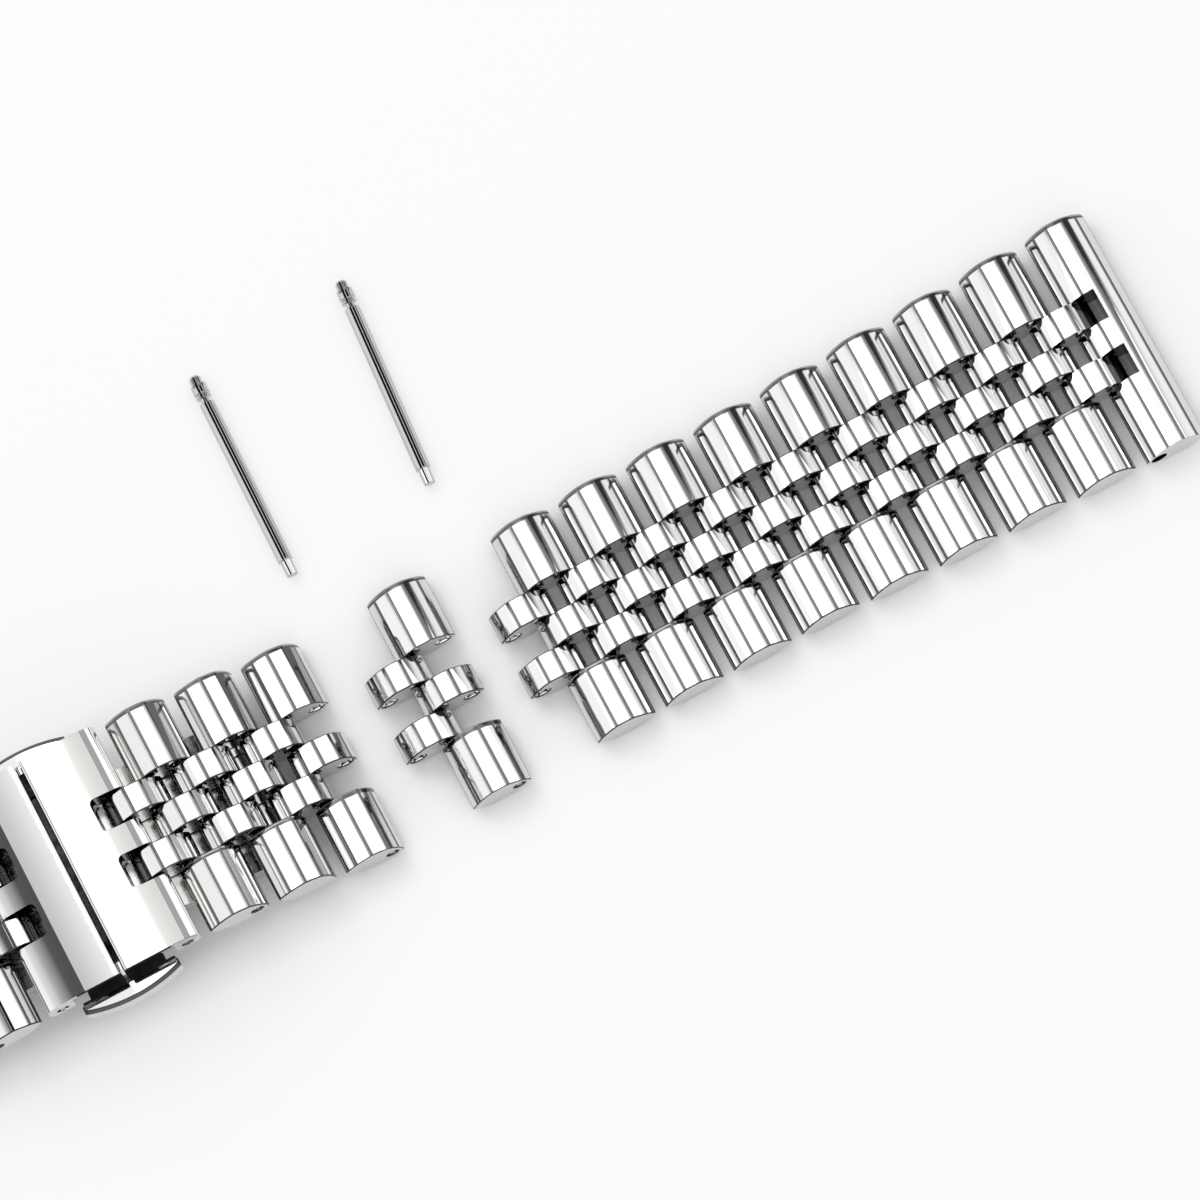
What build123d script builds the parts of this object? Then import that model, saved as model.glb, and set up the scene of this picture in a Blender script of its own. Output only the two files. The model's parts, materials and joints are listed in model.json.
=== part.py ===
"""Five-row link watch bracelet with a butterfly clasp, laid out flat and partly taken apart.

Rows run along X. Rows 1, 3 and 5 sit side by side on the same pins as a trio of two long barrels and
one small link, and rows 2 and 4 are a pair of small links half a pitch further on, so trios and pairs
alternate like the plates of a chain. The long side leaves the clasp towards +X: three trios still on
the clasp, one trio with its pair lying loose, and a strand of eight trios up to the end link. The
short side leaves towards -X. Two spring pins, taken out of the open joints, lie beside the links.
The origin is on the spring bar bore of the long side's end link. +X points away from the clasp there,
+Y runs along the pins and +Z is up, and all lengths are in millimetres.
"""

import os
from math import atan2, cos, degrees, radians, sin, sqrt, tan

from build123d import *

os.makedirs("parts", exist_ok=True)

# Links
pin_spacing = 2.92  # between a link's two pins, half the pitch of a row
link_length = 5.1
link_height = 3.1
pin_height = 1.35  # pin line above a link's underside
small_width = 2.3  # links of rows 2, 3 and 4, along Y
row_gap = 0.15  # between neighbouring rows
band_width = 18.2  # over all five rows near the clasp
lug_width = 20.0  # over the end links, between the watch's lugs
taper_pitches = 5  # over which the band widens to the lugs, step by step

# Outline of a link seen along its pins: shares of half its length, then of its height
crown_share = 0.28
shoulder_share = 0.72
foot_share = 0.75
sole_share = 0.35
shoulder_rise_share = 0.725
flank_rise_share = 0.39
foot_rise_share = 0.145

# Pins inside the band and their holes
pin_radius = 0.6
pin_clearance = 0.05
pin_side_count = 8  # of a pin and its holes where a closed joint hides them
push_hole_radius = 0.5  # through which a removable pin is driven out
push_hole_depth = 0.6  # to the end of a pin that is in place
bore_end_wall = 1.35  # left between an open joint's wide bore and the barrel's end

# The band as it lies: units of one pair and one trio
long_draped_units = 3
long_strand_units = 8
short_units = 7
drape_angles = (8, 12, 19, 23, 23, 19)  # degrees below level, from the clasp down to the table
loose_gap = 5.07  # from the clasp segment's open joint to the loose pair's open end
strand_gap = 4.84  # from the loose trio's open joint to the strand's first pair

# End links
spring_bar_radius = 0.65  # bore for the watch's own spring bar
lug_tube_radius = 0.8  # tube around that bore, on which the last pair turns
end_slot_reach = 0.3  # slots run this far past the end link's middle
end_slot_play = 0.12  # on each side of a link in a slot

# Clasp cover plates, measured from the seam between them
cover_reach = 6.4
cover_height = 2.6
cover_pin_inset = 1.1  # of the cover's pin from its outer edge
cover_flat_reach = 3.1  # of the flat top, from which a curved part falls to the outer edge
cover_fall = 0.5
cover_bulge = 0.066  # rise of the curved part's middle over its chord
cover_roll_radius = 1.0
cover_undercut = 0.35
cover_plate = 0.8  # top wall over the catch
cover_wall = 0.6  # side walls beside the catch
cover_pocket_reach = 3.3
cover_slot_reach = 3.55
cover_slot_radius = 0.45
cover_slot_play = 0.2
seam_gap = 0.4
cover_notch_reach = 4.3  # cut out of the side walls over the push buttons
cover_notch_web = 0.5  # of the top wall, left over the notch
cover_foot_inset = 0.2  # from the arm's edges
cover_foot_start = 4.0
cover_foot_end = 6.1

# Folding arms and the curved base under them
base_width = 12.0
base_thickness = 0.8
arm_thickness = 0.8
arm_gap = 0.1  # between base and arm
arm_start = 3.6
hinge_inset = 0.55  # of the hinge line, inwards from the middle of the second draped trio
knuckle_link_gap = 0.2  # between the knuckles and that trio's sole
hinge_pin_radius = 0.55
hinge_pin_clearance = 0.04
hinge_line_drop = 0.35  # of the base's middle line under the hinge line
knuckle_width = 6.0
knuckle_gap = 0.1
strip_end_gap = 0.6  # between the strips' full width and the knuckles

# Catch housing, push buttons and their springs
housing_reach = 3.0
housing_gap = 0.1
tunnel_floor = 0.29  # of the housing, between base and shank
button_half_length = 4.05
button_gap = 0.3  # between a cover's side and the button
button_end_depth = 0.65
button_middle_depth = 1.3
button_height = 1.7
button_drop = 2.75  # of the buttons' tops under the covers'
button_travel = 0.6
shank_half_width = 2.0
shank_hold = 1.6  # length of the shank inside the housing
shank_thickness = 0.7
shank_clearance = 0.05
latch_depth = 0.8
latch_half_length = 3.4
latch_gap = 0.1  # between a latch bar and the hooks' toes, and at full travel the housing
fin_width = 0.3
fin_depth = 0.7
fin_inset = 0.2
fin_top_drop = 0.3
catch_wall = 0.5  # half the wall between the two springs
spring_strip = 0.15
spring_swing = 0.9
spring_height = 0.5
spring_bend_count = 7
hook_start = 2.2
hook_end = 3.2
hook_leg = 0.4
hook_toe = 0.3
hook_toe_height = 0.65
hook_drop = 0.1  # of the toes under the buttons' latch bars

# Spring pins that lie beside the band, from the plain tip's end to the sprung tip's
loose_pin_tip = 1.3
loose_pin_tip_radius = 0.45
loose_pin_tube = 14.15
plunger_neck = 0.45
plunger_flange = 0.2
plunger_groove = 0.15
plunger_groove_radius = 0.52
plunger_collar = 0.8
plunger_collar_radius = 0.63
plunger_tip = 0.8
plunger_tip_radius = 0.475
plunger_tip_round = 0.2
plunger_shank = 2.0
plunger_shank_radius = 0.34
tube_bore_radius = 0.38
pin_spring_length = 7.5
pin_spring_swing = 0.2
pin_spring_strip = 0.1
pin_spring_bend_count = 9
loose_pin_places = ((25.2, 23.0), (38.2, 24.3))  # of the pins' middles, from the seam and along Y
loose_pin_angles = (1.1, 3.9)  # degrees to the right of +Y

overrun = 0.5  # by which a cut passes the face that it opens

row_pitch = small_width + row_gap
barrel_inner = 1.5 * row_pitch + row_gap / 2
hole_radius = pin_radius + pin_clearance
table = -pin_height


def link_points():
    """Corners of a link's outline around the middle of its pin line: a flat sole and three top facets."""
    half = link_length / 2
    right = [
        (sole_share * half, 0),
        (foot_share * half, foot_rise_share * link_height),
        (half, flank_rise_share * link_height),
        (shoulder_share * half, shoulder_rise_share * link_height),
        (crown_share * half, link_height),
    ]
    right = [(x, z - pin_height) for x, z in right]
    return right + [(-x, z) for x, z in reversed(right)]


def draw_link():
    Polygon(*link_points(), align=None)


def lowest_reach(dip):
    """How far a link tilted by dip degrees reaches below the middle of its pin line."""
    turn = radians(dip)
    return max(x * sin(turn) - z * cos(turn) for x, z in link_points())


# The pin lines of both sides, from the cover's pin outwards
cover_pin_reach = cover_reach - cover_pin_inset
draped_run = sum(pin_spacing * cos(radians(dip)) for dip in drape_angles)
strand_run = (2 * long_strand_units + 1) * pin_spacing
long_run = cover_pin_reach + draped_run + loose_gap + 2 * pin_spacing + strand_gap + strand_run
seam = -long_run

landing_middle = table + lowest_reach(drape_angles[-1])
landing_pin = landing_middle + pin_spacing / 2 * sin(radians(drape_angles[-1]))
cover_pin_z = landing_pin + sum(pin_spacing * sin(radians(dip)) for dip in drape_angles[:-1])


def draped_pins(side):
    pins = [(seam + side * cover_pin_reach, cover_pin_z)]
    for dip in drape_angles:
        x, z = pins[-1]
        pins.append((x + side * pin_spacing * cos(radians(dip)), z - pin_spacing * sin(radians(dip))))
    return pins


def flat_pins(x, side, count):
    return [(x + side * step * pin_spacing, 0) for step in range(count)]


long_segment = draped_pins(1)
loose_start = long_segment[-1][0] + loose_gap
loose_unit = flat_pins(loose_start, 1, 3)
strand_start = loose_unit[-1][0] + strand_gap
long_strand = flat_pins(strand_start, 1, 2 * long_strand_units + 2)

# The short side is whole: its last draped link comes down to the level of the flat ones
short_segment = draped_pins(-1)[:-1]
settle_run = sqrt(pin_spacing**2 - short_segment[-1][1] ** 2)
short_flat = flat_pins(short_segment[-1][0] - settle_run, -1, 2 * short_units + 2 - len(short_segment))
short_pins = short_segment + short_flat


def between(first, second):
    """Middle and tilt, in degrees below level towards +X, of a link on two pins."""
    left, right = sorted((first, second))
    tilt = degrees(atan2(left[1] - right[1], right[0] - left[0]))
    return ((left[0] + right[0]) / 2, (left[1] + right[1]) / 2, tilt)


def places_along(pins):
    return [between(first, second) for first, second in zip(pins, pins[1:])]


def link_plane(place, y):
    """Drawing plane of a link's outline at the given Y, extruded towards -Y."""
    x, z, tilt = place
    return Plane(origin=(x, y, z), x_dir=(cos(radians(tilt)), 0, -sin(radians(tilt))), z_dir=(0, -1, 0))


def band_width_at(pitches):
    """Width over a trio that is the given number of pitches short of its end link."""
    return band_width + (lug_width - band_width) * max(0, 1 - pitches / taper_pitches)


def draw_hidden_hole():
    RegularPolygon(hole_radius, pin_side_count, major_radius=False, mode=Mode.SUBTRACT)


def make_pair(name, place, left_radius=0, right_radius=0):
    """Links of rows 2 and 4, with their pin holes: round ones where a radius is given."""
    with BuildPart() as pair:
        for high in (row_pitch + small_width / 2, -row_pitch + small_width / 2):
            with BuildSketch(link_plane(place, high)):
                draw_link()
                for side, radius in ((-1, left_radius), (1, right_radius)):
                    with Locations((side * pin_spacing / 2, 0)):
                        if radius:
                            Circle(radius, mode=Mode.SUBTRACT)
                        else:
                            draw_hidden_hole()
            extrude(amount=small_width)
    pair.part.label = name
    export_step(pair.part, f"parts/{name}.step")


def make_trio(name, place, width, pinned=(-1, 1), push_side=0):
    """Barrels of rows 1 and 5 and the small link of row 3, on the pins that are pressed into them.

    An end that isn't pinned is open: a spring pin's bore runs through all three links, and narrows
    to a push hole near the barrels' outer ends. push_side marks a pin with a push hole in front.
    """
    half = width / 2
    with BuildPart() as trio:
        for high, low in ((half, barrel_inner), (small_width / 2, -small_width / 2), (-barrel_inner, -half)):
            with BuildSketch(link_plane(place, high)):
                draw_link()
            extrude(amount=high - low)
        for side in (-1, 1):
            centre = (side * pin_spacing / 2, 0)
            if side in pinned:
                for high, low in ((barrel_inner, small_width / 2), (-small_width / 2, -barrel_inner)):
                    with BuildSketch(link_plane(place, high)):
                        with Locations(centre):
                            RegularPolygon(pin_radius, pin_side_count)
                    extrude(amount=high - low)
            else:
                with BuildSketch(link_plane(place, half - bore_end_wall)):
                    with Locations(centre):
                        RegularPolygon(hole_radius, pin_side_count, major_radius=False)
                extrude(amount=width - 2 * bore_end_wall, mode=Mode.SUBTRACT)
                with BuildSketch(link_plane(place, half + overrun)):
                    with Locations(centre):
                        Circle(push_hole_radius)
                extrude(amount=width + 2 * overrun, mode=Mode.SUBTRACT)
        if push_side:
            with BuildSketch(link_plane(place, push_hole_depth - half)):
                with Locations((push_side * pin_spacing / 2, 0)):
                    Circle(push_hole_radius)
            extrude(amount=push_hole_depth + overrun, mode=Mode.SUBTRACT)
    trio.part.label = name
    export_step(trio.part, f"parts/{name}.step")


def make_end_link(name, place, side):
    """Last link, one piece over the whole width, slotted on the band's side for the last pair.

    The last pair turns on a tube, and the watch's spring bar runs through that tube.
    """
    slot_width = small_width + 2 * end_slot_play
    slot_length = link_length / 2 + overrun + end_slot_reach
    lug_bore = (-side * pin_spacing / 2, 0)
    with BuildPart() as end_link:
        with BuildSketch(link_plane(place, lug_width / 2)):
            draw_link()
        extrude(amount=lug_width)
        for row in (row_pitch, -row_pitch):
            with BuildSketch(link_plane(place, row + slot_width / 2)):
                with Locations((side * (end_slot_reach - slot_length / 2), 0)):
                    Rectangle(slot_length, 2 * link_height)
            extrude(amount=slot_width, mode=Mode.SUBTRACT)
            with BuildSketch(link_plane(place, row + slot_width / 2)):
                with Locations(lug_bore):
                    Circle(lug_tube_radius)
            extrude(amount=slot_width)
        with BuildSketch(link_plane(place, lug_width / 2 + overrun)):
            with Locations(lug_bore):
                Circle(spring_bar_radius)
        extrude(amount=lug_width + 2 * overrun, mode=Mode.SUBTRACT)
    end_link.part.label = name
    export_step(end_link.part, f"parts/{name}.step")


# Long side: the segment on the clasp, the loose unit, and the strand up to its end link
last_hole_radius = lug_tube_radius + pin_clearance
long_trios = long_draped_units + 1 + long_strand_units
long_places = places_along(long_segment) + places_along(loose_unit) + places_along(long_strand)
for unit in range(1, long_trios + 1):
    open_end = unit in (long_draped_units, long_draped_units + 1)
    after_gap = unit in (long_draped_units + 1, long_draped_units + 2)
    make_pair(
        f"long_inner_pair_{unit:02d}",
        long_places[2 * unit - 2],
        left_radius=hole_radius if after_gap else 0,
    )
    make_trio(
        f"long_outer_trio_{unit:02d}",
        long_places[2 * unit - 1],
        band_width_at(long_trios + 1 - unit),
        pinned=(-1,) if open_end else (-1, 1),
        push_side=1 if unit == 1 else 0,
    )
make_pair(f"long_inner_pair_{long_trios + 1:02d}", long_places[-1], right_radius=last_hole_radius)
make_end_link("long_end_link", (pin_spacing / 2, 0, 0), 1)

# Short side, whole from the clasp to its end link
short_places = places_along(short_pins)
for unit in range(1, short_units + 1):
    make_pair(f"short_inner_pair_{unit:02d}", short_places[2 * unit - 2])
    make_trio(
        f"short_outer_trio_{unit:02d}",
        short_places[2 * unit - 1],
        band_width_at(short_units + 1 - unit),
        push_side=-1 if unit == 1 else 0,
    )
make_pair(f"short_inner_pair_{short_units + 1:02d}", short_places[-1], left_radius=last_hole_radius)
make_end_link("short_end_link", (short_pins[-1][0] - pin_spacing / 2, 0, 0), -1)

# Clasp levels, from the covers' top down to the base
cover_top = cover_pin_z + link_height - pin_height
cover_bottom = cover_top - cover_height
button_top = cover_top - button_drop
shank_bottom = button_top - shank_thickness
base_middle = shank_bottom - tunnel_floor - base_thickness / 2

# The knuckles fill the room between the table and the sole of the draped trio over them
trio_x, trio_z, trio_tilt = long_places[3]
slope = radians(trio_tilt)
hinge_reach = trio_x - seam - hinge_inset
sole_z = trio_z - pin_height / cos(slope) + hinge_inset * tan(slope)
hinge_radius = ((sole_z - table) * cos(slope) - knuckle_link_gap) / (1 + cos(slope))
hinge_line = table + hinge_radius
hinge_sag = base_middle - (hinge_line - hinge_line_drop)
base_radius = (hinge_reach**2 + hinge_sag**2) / (2 * hinge_sag)
curve_centre = base_middle - base_radius
base_inner_radius = base_radius - base_thickness / 2
base_outer_radius = base_radius + base_thickness / 2
arm_inner_radius = base_outer_radius + arm_gap
arm_outer_radius = arm_inner_radius + arm_thickness
strip_end = hinge_reach - hinge_radius - strip_end_gap

# Clasp places along Y, from the covers' sides inwards
side_y = band_width / 2
pocket_y = side_y - cover_wall
hook_leg_y = pocket_y - hook_leg
hook_toe_y = hook_leg_y - hook_toe
latch_outer = hook_toe_y - latch_gap
latch_inner = latch_outer - latch_depth
housing_half_width = latch_inner - button_travel - latch_gap
shank_inner = housing_half_width - shank_hold
fin_outer = side_y - fin_inset
fin_inner = fin_outer - fin_depth
button_inner = side_y + button_gap
button_end = button_inner + button_end_depth
button_crest = button_inner + button_middle_depth


def clasp_plane(y):
    """Drawing plane across the clasp at the given Y, with the seam at zero, extruded towards -Y."""
    return Plane(origin=(seam, y, 0), x_dir=(1, 0, 0), z_dir=(0, -1, 0))


def level_plane(z):
    """Drawing plane seen from above at the given height, with the seam at zero, extruded downwards."""
    return Plane(origin=(seam, 0, z), x_dir=(1, 0, 0), z_dir=(0, 0, 1))


def draw_strip(inner, outer, start, end):
    """A stretch of curved strip between two distances from the seam."""
    with Locations((0, curve_centre)):
        Circle(outer)
        Circle(inner, mode=Mode.SUBTRACT)
    with Locations(((start + end) / 2, cover_top)):
        Rectangle(abs(end - start), 2 * (cover_top - table), mode=Mode.INTERSECT)


with BuildPart() as clasp_base:
    with BuildSketch(clasp_plane(base_width / 2)):
        draw_strip(base_inner_radius, base_outer_radius, -strip_end, strip_end)
    extrude(amount=base_width)
    with BuildSketch(clasp_plane(knuckle_width / 2)):
        draw_strip(base_inner_radius, base_outer_radius, -hinge_reach, hinge_reach)
        with Locations((-hinge_reach, hinge_line), (hinge_reach, hinge_line)):
            Circle(hinge_radius)
    extrude(amount=knuckle_width)
    with BuildSketch(clasp_plane(base_width / 2 + overrun)):
        with Locations((-hinge_reach, hinge_line), (hinge_reach, hinge_line)):
            Circle(hinge_pin_radius)
    extrude(amount=base_width + 2 * overrun, mode=Mode.SUBTRACT)
clasp_base.part.label = "clasp_base"
export_step(clasp_base.part, "parts/clasp_base.step")

with BuildPart() as hinge_pins:
    with BuildSketch(clasp_plane(base_width / 2)):
        with Locations((-hinge_reach, hinge_line), (hinge_reach, hinge_line)):
            Circle(hinge_pin_radius)
    extrude(amount=base_width)
hinge_pins.part.label = "clasp_hinge_pins"
export_step(hinge_pins.part, "parts/clasp_hinge_pins.step")

# The housing stands on the base, and each end of its tunnel takes a spring and a button's shank
with BuildPart() as housing:
    housing_top = cover_top - cover_plate - housing_gap
    with BuildSketch(clasp_plane(housing_half_width)):
        with Locations((0, (housing_top + base_middle) / 2)):
            Rectangle(2 * housing_reach, housing_top - base_middle)
        with Locations((0, curve_centre)):
            Circle(base_outer_radius, mode=Mode.SUBTRACT)
    extrude(amount=2 * housing_half_width)
    for high in (housing_half_width + overrun, -catch_wall):
        with BuildSketch(clasp_plane(high)):
            with Locations((0, shank_bottom + shank_thickness / 2)):
                Rectangle(2 * (shank_half_width + shank_clearance), shank_thickness + 2 * shank_clearance)
        extrude(amount=housing_half_width + overrun - catch_wall, mode=Mode.SUBTRACT)
housing.part.label = "catch_housing"
export_step(housing.part, "parts/catch_housing.step")


def make_arm(name, side):
    """Folding arm over the base, with two knuckles that straddle the base's one."""
    arm_knuckle_width = (base_width - knuckle_width) / 2 - knuckle_gap
    with BuildPart() as arm:
        with BuildSketch(clasp_plane(base_width / 2)):
            draw_strip(arm_inner_radius, arm_outer_radius, side * arm_start, side * strip_end)
        extrude(amount=base_width)
        for high in (base_width / 2, arm_knuckle_width - base_width / 2):
            with BuildSketch(clasp_plane(high)):
                draw_strip(arm_inner_radius, arm_outer_radius, side * arm_start, side * hinge_reach)
                with Locations((side * hinge_reach, hinge_line)):
                    Circle(hinge_radius)
                    Circle(hinge_pin_radius + hinge_pin_clearance, mode=Mode.SUBTRACT)
            extrude(amount=arm_knuckle_width)
    arm.part.label = name
    export_step(arm.part, f"parts/{name}.step")


def make_cover(name, side):
    """Cover plate on an arm's inner end: slots for the first pair, its pin, a foot and two catch hooks."""
    edge = side * seam_gap / 2
    crease = (side * cover_flat_reach, cover_top)
    corner = (side * cover_reach, cover_top - cover_fall)
    crest = (side * (cover_flat_reach + cover_reach) / 2, cover_top - cover_fall / 2 + cover_bulge)
    pin_centre = (side * cover_pin_reach, cover_pin_z)
    slot_width = small_width + 2 * cover_slot_play
    slot_length = cover_reach - cover_slot_reach + cover_slot_radius + overrun
    with BuildPart() as cover:
        with BuildSketch(clasp_plane(side_y)) as outline:
            with BuildLine():
                Line((edge, cover_top), crease)
                ThreePointArc(crease, crest, corner)
                Polyline(
                    corner,
                    (side * cover_reach, cover_bottom + cover_undercut),
                    (side * (cover_reach - cover_undercut), cover_bottom),
                    (edge, cover_bottom),
                    (edge, cover_top),
                )
            make_face()
            fillet(outline.vertices().sort_by_distance(corner)[0], cover_roll_radius)
        extrude(amount=band_width)
        with BuildSketch(clasp_plane(base_width / 2 - cover_foot_inset)):
            with Locations((side * (cover_foot_start + cover_foot_end) / 2, cover_bottom)):
                Rectangle(cover_foot_end - cover_foot_start, 2 * (cover_bottom - base_middle))
            with Locations((0, curve_centre)):
                Circle(arm_outer_radius, mode=Mode.SUBTRACT)
        extrude(amount=base_width - 2 * cover_foot_inset)
        # Pocket over the catch, and notches in its side walls
        with BuildSketch(clasp_plane(pocket_y)):
            with Locations((0, cover_bottom)):
                Rectangle(2 * cover_pocket_reach, 2 * (cover_height - cover_plate))
        extrude(amount=2 * pocket_y, mode=Mode.SUBTRACT)
        for high in (side_y + overrun, -pocket_y):
            with BuildSketch(clasp_plane(high)):
                with Locations((0, cover_bottom)):
                    Rectangle(2 * cover_notch_reach, 2 * (cover_height - cover_notch_web))
            extrude(amount=cover_wall + overrun, mode=Mode.SUBTRACT)
        # Slots down to the arm, and the pin across them
        with BuildSketch(level_plane(cover_top + overrun)):
            with Locations(
                (side * (cover_slot_reach + slot_length / 2), row_pitch),
                (side * (cover_slot_reach + slot_length / 2), -row_pitch),
            ):
                RectangleRounded(slot_length, slot_width, cover_slot_radius)
        extrude(amount=table - cover_top - overrun, mode=Mode.SUBTRACT)
        for row in (row_pitch, -row_pitch):
            with BuildSketch(clasp_plane(row + slot_width / 2)):
                with Locations(pin_centre):
                    RegularPolygon(pin_radius, pin_side_count)
            extrude(amount=slot_width)
        with BuildSketch(clasp_plane(push_hole_depth - side_y)):
            with Locations(pin_centre):
                Circle(push_hole_radius)
        extrude(amount=push_hole_depth + overrun, mode=Mode.SUBTRACT)
        # Catch hooks beside the buttons' latch bars
        hook_x = side * (hook_start + hook_end) / 2
        web_bottom = cover_top - cover_notch_web
        toe_top = shank_bottom - hook_drop
        for facing in (1, -1):
            with BuildSketch(level_plane(web_bottom)):
                with Locations((hook_x, facing * (hook_leg_y + pocket_y) / 2)):
                    Rectangle(hook_end - hook_start, hook_leg)
            extrude(amount=toe_top - hook_toe_height - web_bottom)
            with BuildSketch(level_plane(toe_top)):
                with Locations((hook_x, facing * (hook_toe_y + pocket_y) / 2)):
                    Rectangle(hook_end - hook_start, hook_leg + hook_toe)
            extrude(amount=-hook_toe_height)
    cover.part.label = name
    export_step(cover.part, f"parts/{name}.step")


def make_button(name, facing):
    """Crescent push button with its shank, latch bar and the fin that rises into the covers' seam."""
    with BuildPart() as button:
        with BuildSketch(level_plane(button_top)):
            with BuildLine():
                Polyline(
                    (-button_half_length, facing * button_end),
                    (-button_half_length, facing * button_inner),
                    (button_half_length, facing * button_inner),
                    (button_half_length, facing * button_end),
                )
                ThreePointArc(
                    (button_half_length, facing * button_end),
                    (0, facing * button_crest),
                    (-button_half_length, facing * button_end),
                )
            make_face()
        extrude(amount=-button_height)
        with BuildSketch(level_plane(button_top)):
            with Locations((0, facing * (shank_inner + button_inner) / 2)):
                Rectangle(2 * shank_half_width, button_inner - shank_inner)
            with Locations((0, facing * (latch_inner + latch_outer) / 2)):
                Rectangle(2 * latch_half_length, latch_outer - latch_inner)
        extrude(amount=-shank_thickness)
        with BuildSketch(level_plane(button_top)):
            with Locations((0, facing * (fin_inner + fin_outer) / 2)):
                Rectangle(fin_width, fin_outer - fin_inner)
        extrude(amount=button_drop - fin_top_drop)
    button.part.label = name
    export_step(button.part, f"parts/{name}.step")


def zigzag(length, swing, bends):
    """Centre line of a folded spring strip from zero to the given length."""
    steps = 2 * bends
    inner = [(swing * (-1) ** step, (step + 1 / 2) * length / steps) for step in range(steps)]
    return [(0, 0)] + inner + [(0, length)]


def make_button_spring(name, facing):
    """Folded strip between the housing's middle wall and a button's shank."""
    run = shank_inner - catch_wall - spring_strip
    with BuildPart() as spring:
        with BuildSketch(level_plane(shank_bottom + (shank_thickness + spring_height) / 2)):
            with BuildLine() as strip:
                points = zigzag(run, spring_swing, spring_bend_count)
                Polyline(*[(x, facing * (catch_wall + spring_strip / 2 + y)) for x, y in points])
            trace(strip.line, line_width=spring_strip)
        extrude(amount=-spring_height)
    spring.part.label = name
    export_step(spring.part, f"parts/{name}.step")


for hand, side in (("long", 1), ("short", -1)):
    make_arm(f"clasp_arm_{hand}", side)
    make_cover(f"clasp_cover_{hand}", side)
for hand, facing in (("rear", 1), ("front", -1)):
    make_button(f"push_button_{hand}", facing)
    make_button_spring(f"button_spring_{hand}", facing)


def turn_round(plane, outline):
    """Revolve an outline, given as radius and distance along the pin, about the pin's own axis."""
    with BuildSketch(plane) as profile:
        Polygon(*outline, align=None)
    revolve(profile.sketch, axis=Axis(plane.origin, plane.y_dir))


def make_loose_pin(number, reach, y, angle):
    """Spring pin on the table: a tube with one plain tip, and a sprung tip on a shank inside it."""
    tube_end = loose_pin_tip + loose_pin_tube
    flange_start = tube_end + plunger_neck
    groove_start = flange_start + plunger_flange
    collar_start = groove_start + plunger_groove
    tip_start = collar_start + plunger_collar
    total = tip_start + plunger_tip
    shank_end = tube_end - plunger_shank
    spring_end = shank_end - pin_spring_length
    turn = radians(angle)
    tail = (seam + reach - total / 2 * sin(turn), y - total / 2 * cos(turn), table + plunger_collar_radius)
    plane = Plane(origin=tail, x_dir=(cos(turn), -sin(turn), 0), z_dir=(0, 0, 1))
    with BuildPart() as tube:
        turn_round(
            plane,
            [
                (0, 0),
                (loose_pin_tip_radius, 0),
                (loose_pin_tip_radius, loose_pin_tip),
                (pin_radius, loose_pin_tip),
                (pin_radius, tube_end),
                (tube_bore_radius, tube_end),
                (tube_bore_radius, spring_end),
                (0, spring_end),
            ],
        )
    tube.part.label = f"loose_pin_tube_{number}"
    export_step(tube.part, f"parts/loose_pin_tube_{number}.step")
    with BuildPart() as plunger:
        turn_round(
            plane,
            [
                (0, shank_end),
                (plunger_shank_radius, shank_end),
                (plunger_shank_radius, flange_start),
                (pin_radius, flange_start),
                (pin_radius, groove_start),
                (plunger_groove_radius, groove_start),
                (plunger_groove_radius, collar_start),
                (plunger_collar_radius, collar_start),
                (plunger_collar_radius, tip_start),
                (plunger_tip_radius, tip_start),
                (plunger_tip_radius, total - plunger_tip_round),
                (plunger_tip_radius - plunger_tip_round, total),
                (0, total),
            ],
        )
    plunger.part.label = f"loose_pin_plunger_{number}"
    export_step(plunger.part, f"parts/loose_pin_plunger_{number}.step")
    with BuildPart() as spring:
        with BuildSketch(plane.offset(pin_spring_strip / 2)):
            with BuildLine() as strip:
                run = pin_spring_length - pin_spring_strip
                points = zigzag(run, pin_spring_swing, pin_spring_bend_count)
                Polyline(*[(x, spring_end + pin_spring_strip / 2 + y) for x, y in points])
            trace(strip.line, line_width=pin_spring_strip)
        extrude(amount=-pin_spring_strip)
    spring.part.label = f"loose_pin_spring_{number}"
    export_step(spring.part, f"parts/loose_pin_spring_{number}.step")


for number, ((reach, y), angle) in enumerate(zip(loose_pin_places, loose_pin_angles), start=1):
    make_loose_pin(number, reach, y, angle)
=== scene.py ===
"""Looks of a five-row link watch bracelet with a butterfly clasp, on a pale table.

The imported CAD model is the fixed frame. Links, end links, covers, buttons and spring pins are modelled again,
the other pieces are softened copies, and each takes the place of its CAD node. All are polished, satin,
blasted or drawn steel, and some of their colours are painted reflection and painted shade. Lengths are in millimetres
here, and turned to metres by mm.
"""

from math import asin, atan2, cos, degrees, pi, radians, sin, sqrt

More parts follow.
